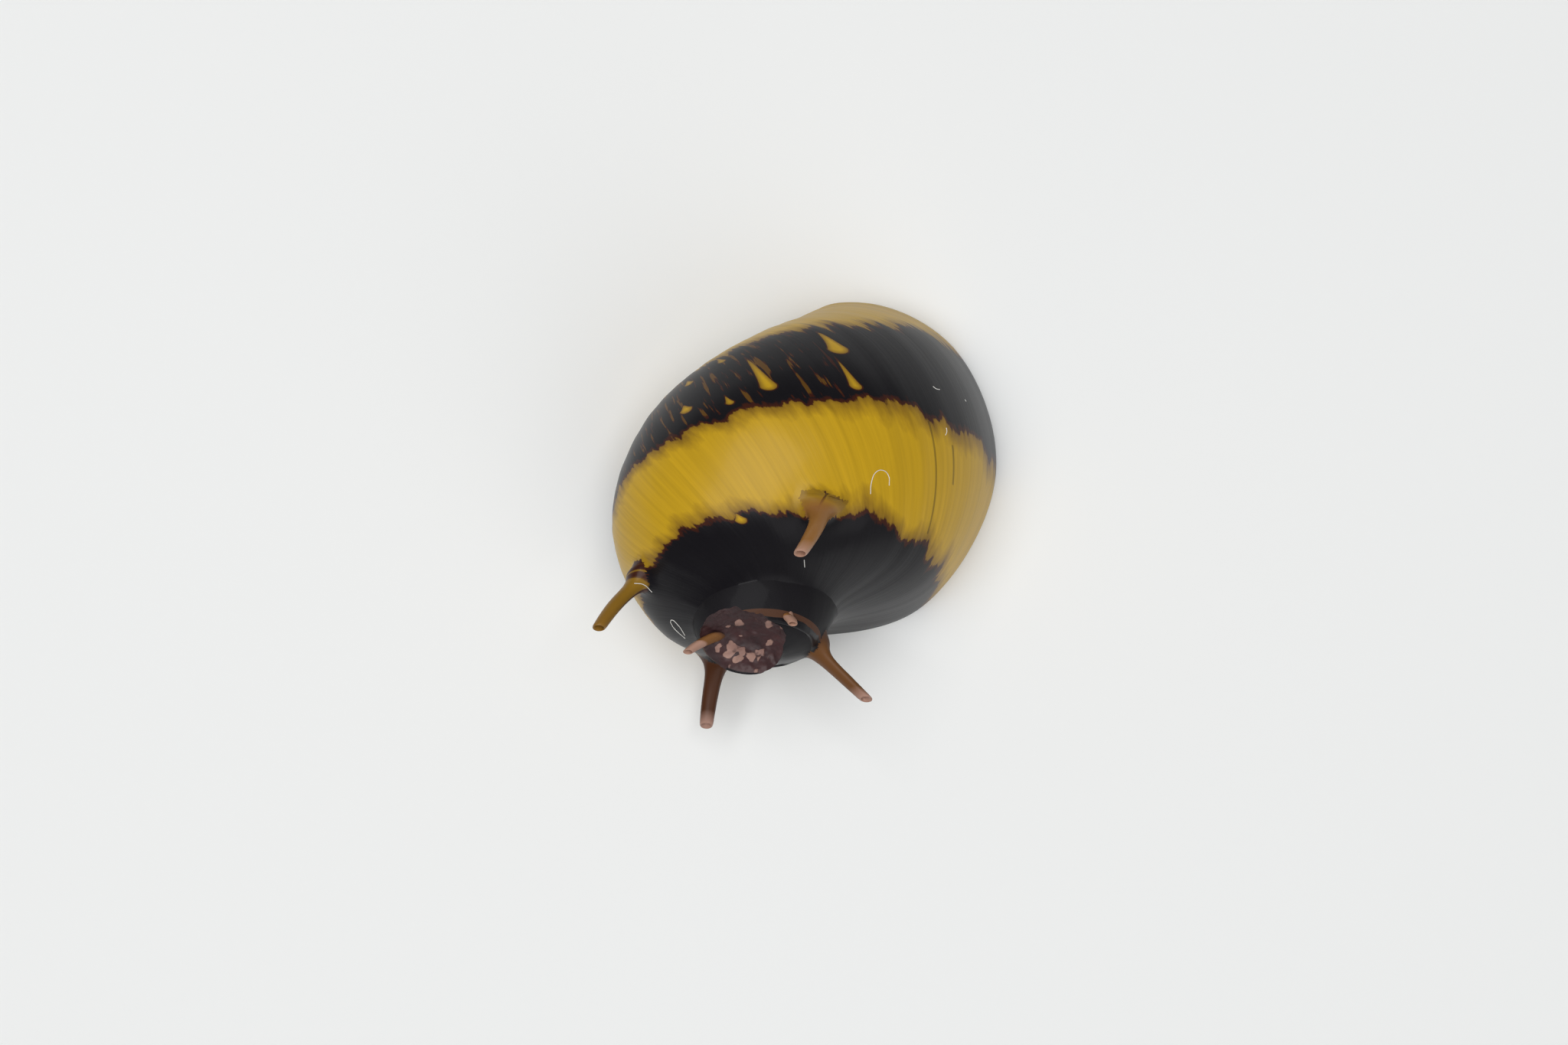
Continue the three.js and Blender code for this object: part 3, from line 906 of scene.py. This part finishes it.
class SHELL_OT_open_mouth(bpy.types.Operator):
    """Cuts the shell flat at its lip and hollows it, leaving the toothed shelf"""

    bl_idname = "shell.open_mouth"
    bl_label = "Open mouth"

    def execute(self, context):
        shell = bpy.data.objects[SHELL]
        bpy.ops.object.select_all(action="DESELECT")
        bpy.ops.mesh.primitive_cube_add(size=60 * MM, location=(0, 0, -30 * MM))
        below = bpy.context.object
        bpy.ops.object.transform_apply(location=True)
        give_material(below, "porcelain")
        combine(shell, below, "DIFFERENCE")
        chamber = self.chamber()
        combine(chamber, self.shelf(), "DIFFERENCE")
        combine(shell, chamber, "DIFFERENCE")
        return {"FINISHED"}

    def chamber(self):
        """The room inside the tube, as the solid that is cut away."""
        share = sizes().chamber_scale
        points = []
        for radius, depth, _ in TUBE:
            inner = [c + (v - c) * share for c, v in zip(CHAMBER_CENTRE, (radius, depth))]
            points.append(Vector((inner[0] * MM, 0, -inner[1] * MM)))
        chamber = outline_ring("chamber", points, SPAN_STEPS)
        ring_size = len(chamber.data.vertices)
        turns = turns_between(*CHAMBER_TURNS)
        sweep_coil(chamber, turns)
        map_growth(chamber, turns, ring_size)
        cap_ends(chamber)
        apply_modifier(chamber, "SUBSURF", levels=1, render_levels=1, uv_smooth="NONE")
        give_material(chamber, "inner wall")
        select_only(chamber)
        chamber.matrix_world = coil_to_row()
        bpy.ops.object.transform_apply(location=True, rotation=True, scale=True)
        return chamber

    def shelf(self):
        """Everything that the chamber may not cut: the shelf's slab and the teeth on its edge."""
        start, end = (Vector((x * MM, y * MM, 0)) for x, y in SHELF_EDGE)
        along = (end - start).normalized()
        across = Vector((along.y, -along.x, 0))
        thickness = sizes().shelf_thickness
        bpy.ops.object.select_all(action="DESELECT")
        bpy.ops.mesh.primitive_cube_add(size=1)
        shelf = bpy.context.object
        shelf.scale = (20 * MM, 40 * MM, thickness + 4 * MM)
        shelf.rotation_euler.z = math.atan2(across.y, across.x)
        middle = (start + end) / 2 - across * 10 * MM
        shelf.location = (middle.x, middle.y, (thickness - 4 * MM) / 2)
        bpy.ops.object.transform_apply(location=True, rotation=True, scale=True)
        apply_modifier(shelf, "BEVEL", width=0.45 * MM, segments=5, limit_method="ANGLE")
        for i, share in enumerate(TEETH):
            centre = start.lerp(end, share)
            bpy.ops.object.select_all(action="DESELECT")
            bpy.ops.mesh.primitive_uv_sphere_add(segments=24, ring_count=16, radius=1)
            tooth = bpy.context.object
            tooth.scale = (0.3 * MM, (0.34 - 0.03 * (i % 2)) * MM, thickness * 0.62)
            tooth.rotation_euler.z = shelf.rotation_euler.z
            tooth.location = (centre.x, centre.y, thickness * 0.5)
            bpy.ops.object.transform_apply(location=True, rotation=True, scale=True)
            combine(shelf, tooth, "UNION")
        give_material(shelf, "porcelain")
        return shelf


class SHELL_OT_wear_spire(bpy.types.Operator):
    """Bites the worn, pitted hollow out of the spire's tip and leaves the oldest stub standing"""

    bl_idname = "shell.wear_spire"
    bl_label = "Wear spire"

    def execute(self, context):
        bpy.ops.object.select_all(action="DESELECT")
        bpy.ops.mesh.primitive_ico_sphere_add(subdivisions=6, radius=MM)
        bite = bpy.context.object
        bite.scale = BITE_SIZE
        bite.rotation_euler.x = math.radians(BITE_LEAN)
        bite.location = [v * MM for v in BITE_PLACE]
        bpy.ops.object.transform_apply(location=True, rotation=True, scale=True)
        select_only(bite)
        bite.matrix_world = coil_to_row()
        bpy.ops.object.transform_apply(location=True, rotation=True, scale=True)
        for scale, strength in BITE_GRAINS:
            grain = bpy.data.textures.new("worn grain", "CLOUDS")
            grain.noise_scale = scale * MM
            grain.noise_depth = 2
            apply_modifier(bite, "DISPLACE", texture=grain, strength=strength * MM, mid_level=0.5,
                           texture_coords="GLOBAL")
        give_material(bite, "worn lime")
        combine(bpy.data.objects[SHELL], bite, "DIFFERENCE")
        stub = grow_horn(*HORNS[-1])
        select_only(stub)
        stub.matrix_world = coil_to_row()
        bpy.ops.object.transform_apply(location=True, rotation=True, scale=True)
        combine(bpy.data.objects[SHELL], stub, "UNION")
        return {"FINISHED"}


class SHELL_OT_finish_surface(bpy.types.Operator):
    """Smooths the seams of the shell and gives every face its finish"""

    bl_idname = "shell.finish_surface"
    bl_label = "Finish surface"

    def execute(self, context):
        shell = bpy.data.objects[SHELL]
        select_only(shell)
        bpy.ops.object.mode_set(mode="EDIT")
        bpy.ops.mesh.select_all(action="SELECT")
        bpy.ops.mesh.remove_doubles(threshold=0.0005 * MM)
        bpy.ops.object.mode_set(mode="OBJECT")
        self.soften_feet(shell)
        bpy.ops.object.shade_smooth_by_angle(angle=math.radians(40))
        dress_banded(bpy.data.materials["banded"])
        dress_inner_wall(bpy.data.materials["inner wall"])
        dress_porcelain(bpy.data.materials["porcelain"])
        dress_worn_lime(bpy.data.materials["worn lime"])
        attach(shell, "root")
        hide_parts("shell")
        return {"FINISHED"}

    def soften_feet(self, shell):
        """Blends each horn's foot into the shoulder."""
        points = np.zeros(len(shell.data.vertices) * 3)
        shell.data.vertices.foreach_get("co", points)
        points = points.reshape(-1, 3)
        group = shell.vertex_groups.new(name="feet")
        reach = FOOT_REACH * MM
        for degrees, length, *_ in HORNS:
            if length < FOOT_REACH:
                continue
            foot = coil_to_row() @ coil_point(*TUBE[SHOULDER][:2], math.radians(degrees))
            apart = np.linalg.norm(points - np.array(foot), axis=1)
            for index in np.flatnonzero(apart < reach):
                group.add([int(index)], min(1, 2 * (1 - apart[index] / reach)), "REPLACE")
        apply_modifier(shell, "SMOOTH", vertex_group="feet", iterations=FOOT_SMOOTHING, factor=0.5)


class SHELL_OT_lay_fibres(bpy.types.Operator):
    """Lays the pale dust fibres on the shell"""

    bl_idname = "shell.lay_fibres"
    bl_label = "Lay fibres"

    def execute(self, context):
        shell = bpy.data.objects[SHELL]
        fibres = [self.lay(shell, points) for points in FIBRES]
        select_only(fibres[0])
        for fibre in fibres:
            fibre.select_set(True)
        bpy.ops.object.join()
        dust = bpy.context.object
        dust.name = "dust_fibres"
        bpy.ops.object.transform_apply(location=True, rotation=True, scale=True)
        bpy.ops.object.shade_smooth()
        give_material(dust, "fibre")
        dress_fibre(bpy.data.materials["fibre"])
        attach(dust, "root")
        return {"FINISHED"}

    def lay(self, shell, points):
        """A thread through the points, dropped onto the shell from above."""
        bpy.ops.object.select_all(action="DESELECT")
        bpy.ops.curve.primitive_bezier_curve_add()
        fibre = bpy.context.object
        knots = fibre.data.splines[0].bezier_points
        knots.add(len(points) - len(knots))
        for knot, (x, y) in zip(knots, points):
            hit, place, _, _ = shell.ray_cast(Vector((x * MM, y * MM, 20 * MM)), Vector((0, 0, -1)))
            if not hit:
                raise RuntimeError("A fibre misses the shell")
            knot.co = place + Vector((0, 0, FIBRE_RADIUS * MM))
            knot.handle_left_type = knot.handle_right_type = "AUTO"
        fibre.data.bevel_depth = FIBRE_RADIUS * MM
        fibre.data.bevel_resolution = 2
        fibre.data.resolution_u = 8
        fibre.data.use_fill_caps = True
        bpy.ops.object.convert(target="MESH")
        return bpy.context.object


# Soft square lights: name, place and width in metres, and watts.
LIGHTS = (("key", (-0.06, 0.03, 0.36), 0.34, 1.3), ("fill", (0.16, -0.20, 0.24), 0.30, 0.28))
CAMERA_PLACE = (-0.122 * MM, -2.151 * MM, 176.37 * MM)
LENS = 100
ROOM_TINT = (0.93, 0.96, 1, 1)
# The room is brightest level with the shell and dimmer overhead: the two heights and their strengths.
ROOM_GLOW = {1: 0.05, 2: 0.8, 3: 0.16, 4: 0.05}


class SHELL_OT_set_stage(bpy.types.Operator):
    """Lays the pale floor, hangs the soft lights and sets the camera above"""

    bl_idname = "shell.set_stage"
    bl_label = "Set stage"

    def execute(self, context):
        bpy.ops.object.select_all(action="DESELECT")
        bpy.ops.mesh.primitive_plane_add(size=2)
        floor = bpy.context.object
        floor.name = "floor"
        material = bpy.data.materials.new("matte board")
        material.use_nodes = True
        shader = material.node_tree.nodes["Principled BSDF"]
        shader.inputs["Base Color"].default_value = (*colours().floor, 1)
        shader.inputs["Roughness"].default_value = 0.8
        floor.data.materials.append(material)
        for name, place, size, power in LIGHTS:
            bpy.ops.object.light_add(type="AREA", location=place)
            light = bpy.context.object
            light.name = name
            light.data.size = size
            light.data.energy = power
            light.rotation_euler = (Vector((0, 0, 0)) - Vector(place)).to_track_quat("-Z", "Y").to_euler()
        world = bpy.data.worlds.new("soft room")
        context.scene.world = world
        world.use_nodes = True
        direction = add_node(world, "ShaderNodeTexCoord")
        parts = add_node(world, "ShaderNodeSeparateXYZ", {0: direction.outputs["Object"]})
        glow = add_node(world, "ShaderNodeMapRange", {0: parts.outputs["Z"], **ROOM_GLOW},
                        interpolation_type="SMOOTHSTEP")
        background = world.node_tree.nodes["Background"]
        background.inputs["Color"].default_value = ROOM_TINT
        world.node_tree.links.new(glow.outputs[0], background.inputs["Strength"])
        bpy.ops.object.camera_add(location=CAMERA_PLACE, rotation=(0, 0, 0))
        camera = bpy.context.object
        camera.name = "camera"
        camera.data.lens = LENS
        camera.data.sensor_width = 36
        camera.data.clip_start = 0.01
        camera.data.clip_end = 10
        context.scene.camera = camera
        context.scene.view_settings.view_transform = "Standard"
        return {"FINISHED"}


class SHELL_PT_panel(bpy.types.Panel):
    """The shell's steps in order"""

    bl_label = "Horned nerite shell"
    bl_idname = "SHELL_PT_panel"
    bl_space_type = "VIEW_3D"
    bl_region_type = "UI"
    bl_category = "Shell"

    def draw(self, context):
        for step in STEPS:
            self.layout.operator(step.bl_idname)


STEPS = (
    SHELL_OT_grow_whorls,
    SHELL_OT_grow_horns,
    SHELL_OT_fill_pillar,
    SHELL_OT_open_mouth,
    SHELL_OT_wear_spire,
    SHELL_OT_finish_surface,
    SHELL_OT_lay_fibres,
    SHELL_OT_set_stage,
)
CLASSES = (ShellSizes, ShellColours, *STEPS, SHELL_PT_panel)


def register():
    for cls in CLASSES:
        bpy.utils.register_class(cls)
    bpy.types.Scene.shell_sizes = bpy.props.PointerProperty(type=ShellSizes)
    bpy.types.Scene.shell_colours = bpy.props.PointerProperty(type=ShellColours)


def unregister():
    del bpy.types.Scene.shell_colours
    del bpy.types.Scene.shell_sizes
    for cls in reversed(CLASSES):
        bpy.utils.unregister_class(cls)


def main():
    register()
    bpy.ops.shell.grow_whorls()
    bpy.ops.shell.grow_horns()
    bpy.ops.shell.fill_pillar()
    bpy.ops.shell.open_mouth()
    bpy.ops.shell.wear_spire()
    bpy.ops.shell.finish_surface()
    bpy.ops.shell.lay_fibres()
    bpy.ops.shell.set_stage()


if __name__ == "__main__":
    main()
